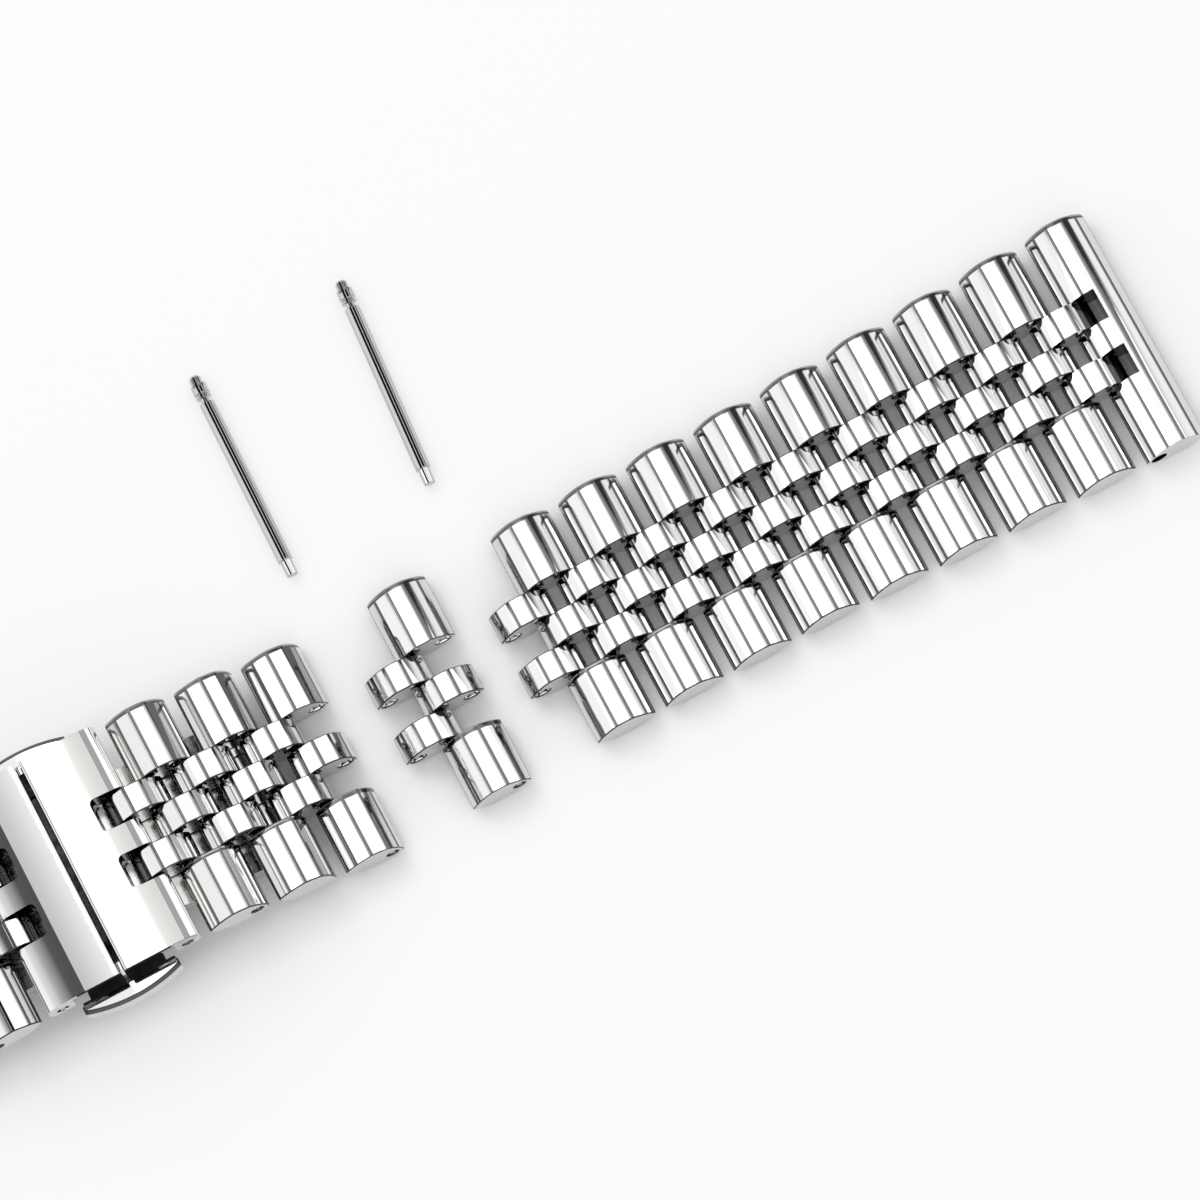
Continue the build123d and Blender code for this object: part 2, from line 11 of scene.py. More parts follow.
import bmesh
import bpy
from mathutils import Matrix, Vector
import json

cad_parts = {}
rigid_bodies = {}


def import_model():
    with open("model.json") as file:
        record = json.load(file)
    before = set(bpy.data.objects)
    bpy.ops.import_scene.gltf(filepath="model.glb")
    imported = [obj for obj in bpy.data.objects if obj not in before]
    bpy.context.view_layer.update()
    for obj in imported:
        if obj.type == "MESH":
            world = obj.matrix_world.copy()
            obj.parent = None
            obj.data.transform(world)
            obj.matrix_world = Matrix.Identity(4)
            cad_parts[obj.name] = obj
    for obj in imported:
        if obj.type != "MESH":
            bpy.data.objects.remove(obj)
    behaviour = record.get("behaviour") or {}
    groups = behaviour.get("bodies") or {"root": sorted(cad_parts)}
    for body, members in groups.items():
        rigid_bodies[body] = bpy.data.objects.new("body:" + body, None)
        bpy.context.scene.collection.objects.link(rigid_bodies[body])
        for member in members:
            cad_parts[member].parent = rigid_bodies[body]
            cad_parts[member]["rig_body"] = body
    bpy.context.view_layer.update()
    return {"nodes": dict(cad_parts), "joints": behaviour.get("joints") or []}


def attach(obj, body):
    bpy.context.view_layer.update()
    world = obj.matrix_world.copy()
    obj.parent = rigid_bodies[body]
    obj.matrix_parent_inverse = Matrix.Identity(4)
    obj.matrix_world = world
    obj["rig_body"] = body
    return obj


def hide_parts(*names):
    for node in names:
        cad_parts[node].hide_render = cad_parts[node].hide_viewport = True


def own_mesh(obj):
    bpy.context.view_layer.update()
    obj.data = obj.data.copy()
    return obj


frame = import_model()
nodes = frame["nodes"]
mm = 0.001

# Sizes repeated from the part's source
pin_spacing = 2.92
link_length = 5.1
link_height = 3.1
pin_height = 1.35
small_width = 2.3
row_gap = 0.15
row_pitch = small_width + row_gap
barrel_inner = 1.5 * row_pitch + row_gap / 2
band_width = 18.2
lug_width = 20.0
taper_pitches = 5
pin_radius = 0.6
hole_radius = 0.65
push_hole_radius = 0.5
spring_bar_radius = 0.65
lug_tube_radius = 0.8
drape_angles = (8, 12, 19, 23, 23, 19)
long_units = 12
short_units = 7
draped_units = 3
seam = -87.3354
cover_pin_reach = 5.3
cover_pin_z = 4.9384
table = -pin_height
end_slot_play = 0.12
end_slot_reach = 0.3
cover_reach = 6.4
cover_flat_reach = 3.1
cover_roll_start, cover_roll_end = 5.3, 5.75
cover_slot_play = 0.2
cover_slot_reach = 3.55
cover_slot_radius = 0.45
cover_top = 6.6884
cover_bottom = cover_top - 2.6
seam_gap = 0.4
button_top = cover_top - 2.75
button_inner = 9.4
spring_pin_length = 17.85

# Softening of polished edges
corner_round = 0.18
rim_round = 0.1
far_round = 0.3
facet_bulge = 0.04
# Width of the painted dark line before a wide far rim
painted_rim_line = 0.13


# Camera: a long lens 75 degrees above the table, rolled so that the band climbs to the right
def aim_camera():
    azimuth, elevation, roll = radians(-4), radians(75), radians(24.1)
    frame_pixels, pixels_per_mm = 1200, 13.19
    distance, frame_width = 600, frame_pixels / pixels_per_mm
    target = Vector((-41.73, 0, 2.27)) * mm
    back = Vector((sin(azimuth) * cos(elevation), -cos(azimuth) * cos(elevation), sin(elevation)))
    level = Vector((cos(azimuth), sin(azimuth), 0))
    steep = back.cross(level)
    right = level * cos(roll) - steep * sin(roll)
    up = level * sin(roll) + steep * cos(roll)
    # The last shift, in pixels, that lays the picture over the photograph
    target = target - right * (10.2 / pixels_per_mm * mm) - up * (3.3 / pixels_per_mm * mm)
    camera = bpy.data.objects.new("camera", bpy.data.cameras.new("camera"))
    bpy.context.scene.collection.objects.link(camera)
    turn = Matrix((right, up, back)).transposed().to_4x4()
    camera.matrix_world = Matrix.Translation(target + back * distance * mm) @ turn
    camera.data.sensor_width = 36
    camera.data.lens = 36 * distance / frame_width
    camera.data.clip_start = 0.01
    camera.data.clip_end = 20
    bpy.context.scene.camera = camera


aim_camera()


# Materials
def linear(code):
    """An sRGB hex value as linear colour."""
    shares = [int(code[place : place + 2], 16) / 255 for place in (1, 3, 5)]
    return tuple(s / 12.92 if s <= 0.04045 else ((s + 0.055) / 1.055) ** 2.4 for s in shares) + (1,)


def add_node(tree, kind, inputs=None, **settings):
    """Adds a node with its settings, and gives each named input a value or a link."""
    node = tree.nodes.new(kind)
    for name, value in settings.items():
        setattr(node, name, value)
    for name, value in (inputs or {}).items():
        if isinstance(value, bpy.types.NodeSocket):
            tree.links.new(value, node.inputs[name])
        else:
            node.inputs[name].default_value = value
    return node


def new_material(name):
    material = bpy.data.materials.new(name)
    material.use_nodes = True
    material.node_tree.nodes.clear()
    return material, material.node_tree


def finish_material(tree, shader):
    add_node(tree, "ShaderNodeOutputMaterial", {"Surface": shader.outputs[0]})


def steel(name, colour, roughness, swell=0.0003, grain=0.0001, scale=2400, stretch=(1, 1, 1), fade=None):
    """Steel with a slow swell left by the buffing wheel and a fine grain or hairline over it.

    A fade gives the two places along X, in mm, between which a second colour sets in, and that colour.
    """
    material, tree = new_material(name)
    place = add_node(tree, "ShaderNodeTexCoord").outputs["Object"]
    wave = add_node(tree, "ShaderNodeTexNoise", {"Vector": place, "Scale": 260, "Detail": 1})
    swell_bump = add_node(
        tree, "ShaderNodeBump", {"Strength": 1, "Distance": swell * mm, "Height": wave.outputs["Fac"]}
    )
    stretched = add_node(tree, "ShaderNodeMapping", {"Vector": place, "Scale": stretch})
    lines = add_node(tree, "ShaderNodeTexNoise", {"Vector": stretched.outputs[0], "Scale": scale, "Detail": 3})
    grain_bump = add_node(
        tree,
        "ShaderNodeBump",
        {"Strength": 1, "Distance": grain * mm, "Height": lines.outputs["Fac"], "Normal": swell_bump.outputs[0]},
    )
    rough = add_node(
        tree,
        "ShaderNodeMapRange",
        {
            "Value": lines.outputs["Fac"],
            "From Min": 0.3,
            "From Max": 0.7,
            "To Min": roughness * 0.7,
            "To Max": roughness * 1.3,
        },
    )
    shader = add_node(
        tree,
        "ShaderNodeBsdfPrincipled",
        {"Base Color": linear(colour), "Metallic": 1, "Roughness": rough.outputs[0], "Normal": grain_bump.outputs[0]},
    )
    if fade:
        start, end, second = fade
        along = add_node(tree, "ShaderNodeSeparateXYZ", {"Vector": place}).outputs["X"]
        share = add_node(
            tree,
            "ShaderNodeMapRange",
            {"Value": along, "From Min": start * mm, "From Max": end * mm, "To Min": 0, "To Max": 1},
            interpolation_type="SMOOTHSTEP",
        )
        tint = add_node(tree, "ShaderNodeMix", data_type="RGBA")
        tree.links.new(share.outputs["Result"], tint.inputs["Factor"])
        tint.inputs[6].default_value = linear(colour)
        tint.inputs[7].default_value = linear(second)
        tree.links.new(tint.outputs[2], shader.inputs["Base Color"])
    finish_material(tree, shader)
    return material


# Mirror-polished stainless steel: near-white, hardly any grain, slightly wavy reflections
mirror = {"swell": 0.0006, "grain": 0.00006}
polished_steel = steel("mirror_polished_stainless", "#DEDEDC", 0.05, **mirror)
# The long cover's polish: a fade stands in for the reflection that darkens towards its rolled edge, a painted
# reflection
long_fade = (seam + 2.6, seam + cover_roll_start, "#BEBEBB")
long_cover_painted_steel = steel("long_cover_painted_reflection_stainless", "#DEDEDC", 0.05, fade=long_fade, **mirror)
# The short cover's flat is painted darker, most of all towards its crease: a painted reflection, again a fade
short_fade = (seam - cover_flat_reach, seam - 0.4, "#D2D2D0")
short_cover_painted_steel = steel("short_cover_painted_reflection_stainless", "#B7B7B5", 0.06, fade=short_fade, **mirror)
# Satin stainless of the folded strips, with fine hairlines along the strip
satin_steel = steel("satin_stainless", "#CFCFCD", 0.2, 0.0004, 0.0004, 3000, (0.08, 1, 1))
# Drawn stainless of the springs, a little darker
spring_steel = steel("drawn_spring_stainless", "#BFBFBC", 0.16, 0.0003, 0.0002, 3000)
# Darker steel for edges, rims, borders and slot walls: painted dark and grey reflection, and painted shade in the
# slots
painted_dark_steel = steel("painted_dark_reflection_and_shade_stainless", "#5E5E60", 0.12)
painted_grey_steel = steel("painted_grey_reflection_stainless", "#A4A4A5", 0.1)
# A darker strip along the long cover's rolled edge: another painted dark reflection
painted_roll_band_steel = steel("painted_roll_reflection_stainless", "#8E8E8F", 0.1)
# Drawn stainless of the spring pins, darker than the polished links
pin_steel = steel("drawn_pin_stainless", "#C2C2C0", 0.06)
# A dark line along them: painted reflection
painted_pin_line_steel = steel("painted_pin_line_reflection_stainless", "#262626", 0.15)
# Bead-blasted, a guess for the housing and the buttons' bars, and dark so that they stay dark behind the seam, where
# shade falls: partly painted shade
blasted_painted_shade_steel = steel("blasted_painted_shade_stainless", "#4C4C4B", 0.6, 0.0003, 0.0004, 1800)

# Material slots of the links: polished, and painted reflection in dark edges and grey borders
plain_slot, painted_dark_slot, painted_grey_slot = 0, 1, 2
# Slots of the inner and outer half of the facet that leans towards +X; on draped links they are painted grey
# reflection
plain_shades = (plain_slot, plain_slot)
draped_shades = (painted_grey_slot, plain_slot)
draped_far_shades = (painted_grey_slot, painted_grey_slot)


# Mesh helpers
def to_mesh(bm, name, *materials, flat=False):
    """Writes a finished bmesh, in millimetres, as an object at the origin, with its place in its mesh.

    With flat set, wide faces keep their own direction and only the softened edges shade round.
    """
    bmesh.ops.scale(bm, vec=(mm, mm, mm), verts=bm.verts)
    for face in bm.faces:
        face.smooth = True
    mesh = bpy.data.meshes.new(name)
    bm.to_mesh(mesh)
    bm.free()
    for material in materials:
        mesh.materials.append(material)
    piece = bpy.data.objects.new(name, mesh)
    bpy.context.scene.collection.objects.link(piece)
    if flat:
        weigh = piece.modifiers.new("flat_faces", "WEIGHTED_NORMAL")
        weigh.weight = 80
        weigh.keep_sharp = True
    return piece


def join(bodies):
    """One bmesh that holds all the given ones."""
    whole = bmesh.new()
    for body in bodies:
        mesh = bpy.data.meshes.new("body")
        body.to_mesh(mesh)
        body.free()
        whole.from_mesh(mesh)
        bpy.data.meshes.remove(mesh)
    return whole


def packed_mesh(node):
    """A CAD node's mesh in millimetres, with its split corners merged."""
    bm = bmesh.new()
    bm.from_mesh(nodes[node].data)
    bmesh.ops.scale(bm, vec=(1 / mm, 1 / mm, 1 / mm), verts=bm.verts)
    bmesh.ops.remove_doubles(bm, verts=bm.verts, dist=1e-4)
    return bm


def round_over(bm, geom, width, segments, affect="EDGES"):
    """Rounds the given edges, or the given corners of a flat outline."""
    bmesh.ops.bevel(
        bm, geom=geom, offset=width, segments=segments, profile=0.5, affect=affect, clamp_overlap=True, material=-1
    )


def sharp_edges(bm, sharper_than):
    return [
        edge for edge in bm.edges if len(edge.link_faces) == 2 and edge.calc_face_angle() > radians(sharper_than)
    ]


def extrude(bm, depth):
    """Draws a flat outline out by a depth vector into a closed body."""
    drawn = bmesh.ops.extrude_face_region(bm, geom=bm.faces[:], use_keep_orig=True)["geom"]
    moved = [item for item in drawn if isinstance(item, bmesh.types.BMVert)]
    bmesh.ops.translate(bm, verts=moved, vec=depth)


def soften(bm, width, segments=2, sharper_than=30):
    """Rounds every edge that turns more sharply than the given angle, in degrees."""
    bmesh.ops.dissolve_limit(bm, angle_limit=radians(1), verts=bm.verts, edges=bm.edges, delimit={"MATERIAL"})
    round_over(bm, sharp_edges(bm, sharper_than), width, segments)


def put(bm, place):
    """Turns and moves a link, made around the middle of its pin line, to its place along the band."""
    x, z, tilt = place
    bmesh.ops.rotate(bm, verts=bm.verts, cent=(0, 0, 0), matrix=Matrix.Rotation(radians(tilt), 3, "Y"))
    bmesh.ops.translate(bm, verts=bm.verts, vec=(x, 0, z))


def stand_for(piece, node):
    """The piece takes a CAD node's place: it joins the node's body, and the node is hidden."""
    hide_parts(node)
    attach(piece, nodes[node]["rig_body"])


# Links: the corners of their outline, as shares of half the length and of the height
crown_share, shoulder_share, foot_share, sole_share = 0.28, 0.72, 0.75, 0.35
shoulder_rise, flank_rise, foot_rise = 0.725, 0.39, 0.145


def link_points():
    """Corners of a link's outline around the middle of its pin line."""
    half = link_length / 2
    right = [
        (sole_share * half, 0),
        (foot_share * half, foot_rise * link_height),
        (half, flank_rise * link_height),
        (shoulder_share * half, shoulder_rise * link_height),
        (crown_share * half, link_height),
    ]
    right = [(x, z - pin_height) for x, z in right]
    return right + [(-x, z) for x, z in reversed(right)]


def lean_of(face):
    """How far a face leans from level towards +X, in degrees."""
    return degrees(atan2(face.normal.x, face.normal.z))


def on_right_facet(face):
    """Whether a face is part of the upper facet that leans towards +X."""
    return 25 < lean_of(face) < 50


def link_body(low, high, holes=(), shades=plain_shades):
    """A link between two Y places: its outline with rounded corners and round holes, drawn out along Y.

    The shades are the slots of the inner and outer half of the facet that leans towards +X, which may hold painted
    reflection.
    """
    bm = bmesh.new()
    corners = [bm.verts.new((x, low, z)) for x, z in link_points()]
    bm.faces.new(corners)
    round_over(bm, corners, corner_round, 3, "VERTICES")
    facets = [edge for edge in bm.edges if edge.calc_length() > 0.6 and min(vert.co.z for vert in edge.verts) > 0]
    for edge in facets:
        middle = bmesh.ops.subdivide_edges(bm, edges=[edge], cuts=1)["geom_inner"]
        crest = next(item for item in middle if isinstance(item, bmesh.types.BMVert))
        along = edge.verts[0].co - edge.verts[1].co
        outward = Vector((along.z, 0, -along.x)).normalized()
        crest.co += outward * facet_bulge * (1 if outward.z > 0 else -1)
    if holes:
        bmesh.ops.delete(bm, geom=bm.faces[:], context="FACES_ONLY")
        for x, radius in holes:
            bmesh.ops.create_circle(
                bm,
                cap_ends=False,
                radius=radius,
                segments=24,
                matrix=Matrix.Translation((x, low, 0)) @ Matrix.Rotation(pi / 2, 4, "X"),
            )
        bmesh.ops.triangle_fill(bm, use_beauty=True, use_dissolve=False, edges=bm.edges[:])
    bmesh.ops.recalc_face_normals(bm, faces=bm.faces)
    extrude(bm, (0, high - low, 0))
    bmesh.ops.remove_doubles(bm, verts=bm.verts, dist=1e-5)
    bmesh.ops.recalc_face_normals(bm, faces=bm.faces)
    for face in bm.faces:
        along = abs(face.normal.y) < 0.5
        in_bore = any((face.calc_center_median().xz - Vector((x, 0))).length < radius + 0.05 for x, radius in holes)
        # Narrow rounded corners are painted reflection: grey left of a corner on the top, dark elsewhere
        if along and not in_bore and face.calc_area() < corner_round * (high - low):
            middle = face.calc_center_median()
            corner = min(link_points(), key=lambda point: (Vector(point) - middle.xz).length)
            left_of_corner = middle.x - corner[0] < -0.04
            face.material_index = painted_grey_slot if middle.z > 0 and left_of_corner else painted_dark_slot
        elif along and not in_bore and on_right_facet(face):
            outer_half = lean_of(face) > 37.5
            face.material_index = shades[outer_half]
    return bm


def finish_link(bm, low, high, far=0, bores=(), wedge=None):
    """Softens a link's edges, and rounds over the rim of its far end more widely where it is in plain sight.

    The rims of both ends are painted darker than the facets as painted reflection, and a wide rim is painted grey
    with a painted dark line before it.
    A wedge gives the width, at the far and near end, of a painted dark reflection strip on the facet that leans
    towards +X.
    """
    if far:
        ring = []
        for edge in bm.edges:
            at_end = all(abs(vert.co.y - high) < 1e-4 for vert in edge.verts)
            in_bore = any((edge.verts[0].co.xz - Vector((x, 0))).length < radius + 0.03 for x, radius in bores)
            if at_end and not in_bore and edge.calc_face_angle(0) > 1:
                ring.append(edge)
        round_over(bm, ring, far, 5)
    soften(bm, rim_round)
    if far:
        start = high - far - painted_rim_line
        bmesh.ops.bisect_plane(
            bm, geom=bm.verts[:] + bm.edges[:] + bm.faces[:], plane_co=(0, start, 0), plane_no=(0, 1, 0)
        )
    bm.normal_update()
    for face in bm.faces:
        middle = face.calc_center_median()
        at_rim = 0.25 < abs(face.normal.y) < 0.97 and min(middle.y - low, high - middle.y) < 0.12
        at_line = far and abs(face.normal.y) < 0.05 and start < middle.y < high - far * 0.9 and middle.z > 0
        if at_line or (at_rim and not (far and face.normal.y > 0)):
            face.material_index = painted_dark_slot
        elif far and 0.05 < face.normal.y < 0.99 and middle.y > high - far:
            face.material_index = painted_grey_slot
    if wedge:
        facet = [face for face in bm.faces if abs(face.normal.y) < 0.05 and on_right_facet(face)]
        parts = set(facet)
        for face in facet:
            parts.update(face.edges)
            parts.update(face.verts)
        root = crown_share * link_length / 2
        border = Vector((root + wedge[0], high, 0))
        outward = Vector((high - low, wedge[1] - wedge[0], 0))
        bmesh.ops.bisect_plane(bm, geom=list(parts), plane_co=border, plane_no=outward)
        for face in bm.faces:
            inner = (face.calc_center_median() - border).dot(outward) < 0
            if abs(face.normal.y) < 0.05 and on_right_facet(face) and inner:
                face.material_index = painted_dark_slot
    return bm


def round_bar(x, low, high, radius, segments=32):
    """A pin along Y."""
    bm = bmesh.new()
    bmesh.ops.create_cone(
        bm,
        cap_ends=True,
        segments=segments,
        radius1=radius,
        radius2=radius,
        depth=high - low,
        matrix=Matrix.Translation((x, (low + high) / 2, 0)) @ Matrix.Rotation(pi / 2, 4, "X"),
    )
    return bm


def cut(bm, cutters):
    """Takes the cutters' volume out of a closed body."""
    body = bpy.data.meshes.new("cut_body")
    bm.to_mesh(body)
    bm.free()
    target = bpy.data.objects.new("cut_body", body)
    bpy.context.scene.collection.objects.link(target)
    helpers = []
    for cutter in cutters:
        mesh = bpy.data.meshes.new("cutter")
        cutter.to_mesh(mesh)
        cutter.free()
        helper = bpy.data.objects.new("cutter", mesh)
        bpy.context.scene.collection.objects.link(helper)
        helpers.append(helper)
        modifier = target.modifiers.new("cut", "BOOLEAN")
        modifier.operation = "DIFFERENCE"
        modifier.solver = "EXACT"
        modifier.object = helper
    bpy.context.view_layer.update()
    result = bpy.data.meshes.new_from_object(target.evaluated_get(bpy.context.evaluated_depsgraph_get()))
    whole = bmesh.new()
    whole.from_mesh(result)
    for helper in helpers + [target]:
        mesh = helper.data
        bpy.data.objects.remove(helper)
        bpy.data.meshes.remove(mesh)
    bpy.data.meshes.remove(result)
    bmesh.ops.remove_doubles(whole, verts=whole.verts, dist=1e-5)
    return whole


def between(first, second):
    """Middle and tilt of the link between two pin lines."""
    left, right = sorted((first, second))
    tilt = degrees(atan2(left[1] - right[1], right[0] - left[0]))
    return ((left[0] + right[0]) / 2, (left[1] + right[1]) / 2, tilt)


def pin_lines(side):
    """Pin lines of the clasp segment of one side, from the cover's pin outwards."""
    pins = [(seam + side * cover_pin_reach, cover_pin_z)]
    for dip in drape_angles:
        x, z = pins[-1]
        pins.append((x + side * pin_spacing * cos(radians(dip)), z - pin_spacing * sin(radians(dip))))
    return pins


def flat_lines(x, side, count):
    return [(x + side * step * pin_spacing, 0) for step in range(count)]


def places_along(pins):
    return [between(first, second) for first, second in zip(pins, pins[1:])]


hinge_x = {joint["name"]: joint["pos_m"][0] / mm for joint in frame["joints"] if "pos_m" in joint}
loose_first = hinge_x["long_outer_trio_04_hinge"] - pin_spacing
strand_first = hinge_x["long_outer_trio_05_hinge"] - pin_spacing
long_places = (
    places_along(pin_lines(1))
    + places_along(flat_lines(loose_first, 1, 3))
    + places_along(flat_lines(strand_first, 1, 2 * (long_units - draped_units - 1) + 2))
)
short_segment = pin_lines(-1)[:-1]
settle_run = sqrt(pin_spacing**2 - short_segment[-1][1] ** 2)
short_flat = flat_lines(short_segment[-1][0] - settle_run, -1, 2 * short_units + 2 - len(short_segment))
short_places = places_along(short_segment + short_flat)


def band_width_at(pitches):
    return band_width + (lug_width - band_width) * max(0, 1 - pitches / taper_pitches)


def lay_link(bodies, place, node):
    """Joins the bodies of a pair, trio or end link, and lays them in the node's place."""
    whole = join(bodies)
    put(whole, place)
    stand_for(to_mesh(whole, f"{node}_polished", polished_steel, painted_dark_steel, painted_grey_steel, flat=True), node)


def make_pair(node, place, radii, shades=plain_shades):
    """The links of rows 2 and 4, with a hole for each pin."""
    holes = [(-pin_spacing / 2, radii[0]), (pin_spacing / 2, radii[1])]
    bodies = []
    for row in (-row_pitch, row_pitch):
        low, high = row - small_width / 2, row + small_width / 2
        bodies.append(finish_link(link_body(low, high, holes, shades), low, high))
    lay_link(bodies, place, node)


def make_trio(node, place, width, open_end=False, push_side=0, draped=False):
    """Two barrels and the middle link on their pins, with bores where a spring pin is out."""
    shades = draped_shades if draped else plain_shades
    far_shades = draped_far_shades if draped else plain_shades
    # Widths of a painted dark reflection strip on the far barrel's facet that leans towards +X
    wedge = (0.75, 0.35) if draped else (0.5, 0.18)
    half = width / 2
    step = pin_spacing / 2
    bodies = []
    for low, high in ((-half, -barrel_inner), (barrel_inner, half)):
        barrel = link_body(low, high, (), shades if low < 0 else far_shades)
        outer, inner = (low, high) if low < 0 else (high, low)
        drills, bores = [], [(step, push_hole_radius)] if open_end else []
        if open_end:
            # Only a narrow push hole reaches the outside; the pin's bore starts behind it
            toward = 1 if low < 0 else -1
            wide = sorted((outer + toward * 1.35, inner + toward))
            drills = [round_bar(step, *wide, hole_radius), round_bar(step, low - 1, high + 1, push_hole_radius)]
        if push_side and low < 0:
            drills = [round_bar(push_side * step, low - 1, low + 0.6, push_hole_radius)]
        if drills:
            barrel = cut(barrel, drills)
        bodies.append(finish_link(barrel, low, high, far_round, bores, wedge if low > 0 else None))
    holes = [(step, hole_radius)] if open_end else ()
    middle_link = link_body(-small_width / 2, small_width / 2, holes, shades)
    bodies.append(finish_link(middle_link, -small_width / 2, small_width / 2))
    for x in (-step, step):
        if x > 0 and open_end:
            continue
        for low, high in ((small_width / 2, barrel_inner), (-barrel_inner, -small_width / 2)):
            bodies.append(round_bar(x, low - 0.1, high + 0.1, pin_radius))
    lay_link(bodies, place, node)


for unit in range(1, long_units + 1):
    open_end = unit in (draped_units, draped_units + 1)
    draped = unit <= draped_units
    shades = draped_shades if draped else plain_shades
    make_pair(f"long_inner_pair_{unit:02d}", long_places[2 * unit - 2], (hole_radius, hole_radius), shades)
    make_trio(
        f"long_outer_trio_{unit:02d}",
        long_places[2 * unit - 1],
        band_width_at(long_units + 1 - unit),
        open_end=open_end,
        push_side=1 if unit == 1 else 0,
        draped=draped,
    )
make_pair(f"long_inner_pair_{long_units + 1:02d}", long_places[-1], (hole_radius, lug_tube_radius + 0.05))
for unit in range(1, short_units + 1):
    make_pair(f"short_inner_pair_{unit:02d}", short_places[2 * unit - 2], (hole_radius, hole_radius))
    make_trio(
        f"short_outer_trio_{unit:02d}",
        short_places[2 * unit - 1],
        band_width_at(short_units + 1 - unit),
        push_side=-1 if unit == 1 else 0,
    )
make_pair(f"short_inner_pair_{short_units + 1:02d}", short_places[-1], (lug_tube_radius + 0.05, hole_radius))


def block(low, high):
    """A plain box between two corners, for cutting or for a hidden arm of a piece."""
    bm = bmesh.new()
    size = Vector(high) - Vector(low)
    middle = (Vector(high) + Vector(low)) / 2
    bmesh.ops.create_cube(bm, size=1, matrix=Matrix.Translation(middle) @ Matrix.Diagonal((*size, 1)))
    return bm


def drawn_plate(points, depth, rounds):
    """A flat outline, given as points in 3-D, with some corners rounded, drawn out by a depth vector."""
    bm = bmesh.new()
    corners = [bm.verts.new(point) for point in points]
    bm.faces.new(corners)
    for number, (width, segments) in rounds.items():
        round_over(bm, [corners[number]], width, segments, "VERTICES")
    extrude(bm, depth)
    bmesh.ops.recalc_face_normals(bm, faces=bm.faces)
    return bm


# End links
def make_end_link(node, place, side):
    """One piece over the whole width, slotted for the last pair, with a tube for the watch's spring bar."""
    lug_x = -side * pin_spacing / 2
    half, half_slot = lug_width / 2, small_width / 2 + end_slot_play
    body = link_body(-half, half)
    cutters = [round_bar(lug_x, -half - 1, half + 1, spring_bar_radius, 48)]
    for row in (-row_pitch, row_pitch):
        reach = sorted((-side * 4, side * end_slot_reach))
        cutters.append(block((reach[0], row - half_slot, -3), (reach[1], row + half_slot, 3)))
    body = cut(body, cutters)
    # The slot walls are painted dark: painted shade
    for face in body.faces:
        middle = face.calc_center_median()
        if reach[0] < middle.x < reach[1] + 0.01 and abs(abs(middle.y) - row_pitch) < half_slot + 0.01:
            face.material_index = painted_dark_slot
    body = finish_link(body, -half, half, far_round, [(lug_x, spring_bar_radius)], (0.5, 0))
    tubes = []
    for row in (-row_pitch, row_pitch):
        tube = round_bar(lug_x, row - half_slot - 0.1, row + half_slot + 0.1, lug_tube_radius, 48)
        tubes.append(cut(tube, [round_bar(lug_x, row - 3, row + 3, spring_bar_radius, 48)]))
    lay_link([body] + tubes, place, node)


make_end_link("long_end_link", (pin_spacing / 2, 0, 0), 1)
short_end = (hinge_x["short_end_link_hinge"] - pin_spacing / 2, 0, 0)
make_end_link("short_end_link", short_end, -1)


# Clasp covers
def make_cover(side):
    """Cover plate: flat at the seam, falling in a soft curve to a rolled outer edge, with two slots."""
    half = band_width / 2
    edge = seam_gap / 2
    curve_runs = (0.45, 0.9, 1.35, 1.8, 2.2)
    profile = [
        (edge, cover_top),
        (cover_flat_reach, cover_top),
        *((cover_flat_reach + run, cover_top - 0.061 * run - 0.0275 * run * run) for run in curve_runs),
        (cover_roll_end, cover_top - 0.355),
        (cover_reach, cover_top - 0.5),
        (cover_reach, cover_bottom + 0.35),
        (cover_reach - 0.35, cover_bottom),
        (edge, cover_bottom),
    ]
    points = [(seam + side * x, -half, z) for x, z in profile]
    outer_corner, seam_corner = 8, 0
    body = drawn_plate(points, (0, band_width, 0), {outer_corner: (0.6, 6), seam_corner: (0.22, 2)})
    half_slot = small_width / 2 + cover_slot_play
    near, far = seam + side * cover_slot_reach, seam + side * 8
    cutters = []
    for row in (-row_pitch, row_pitch):
        mouth = [
            (near, row - half_slot, 8),
            (far, row - half_slot, 8),
            (far, row + half_slot, 8),
            (near, row + half_slot, 8),
        ]
        cutters.append(drawn_plate(mouth, (0, 0, -6), {0: (cover_slot_radius, 4), 3: (cover_slot_radius, 4)}))
    pocket = sorted((seam - side, seam + side * 3.3))
    notch = sorted((seam - side, seam + side * 4.3))
    cutters.append(block((pocket[0], -half + 0.6, 0), (pocket[1], half - 0.6, cover_top - 0.8)))
    cutters.append(block((notch[0], -half - 1, 0), (notch[1], -half + 0.6, cover_top - 0.5)))
    cutters.append(block((notch[0], half - 0.6, 0), (notch[1], half + 1, cover_top - 0.5)))
    pin_x = cover_pin_reach * side
    hole = round_bar(seam + pin_x, -half - 1, -half + 0.6, push_hole_radius)
    bmesh.ops.translate(hole, verts=hole.verts, vec=(0, 0, cover_pin_z))
    body = cut(body, cutters + [hole])
    soften(body, 0.09, 2, 35)
    extras = []
    for row in (-row_pitch, row_pitch):
        pin = round_bar(seam + pin_x, row - half_slot - 0.1, row + half_slot + 0.1, pin_radius)
        bmesh.ops.translate(pin, verts=pin.verts, vec=(0, 0, cover_pin_z))
        extras.append(pin)
    return join([body] + extras)


def mark_crease(bm, x):
    """Marks the crease between a cover's flat and its curved part, so that the two reflect apart."""
    for edge in bm.edges:
        if all(abs(vert.co.x - x) < 1e-3 and vert.co.z > cover_top - 0.01 for vert in edge.verts):
            edge.smooth = False


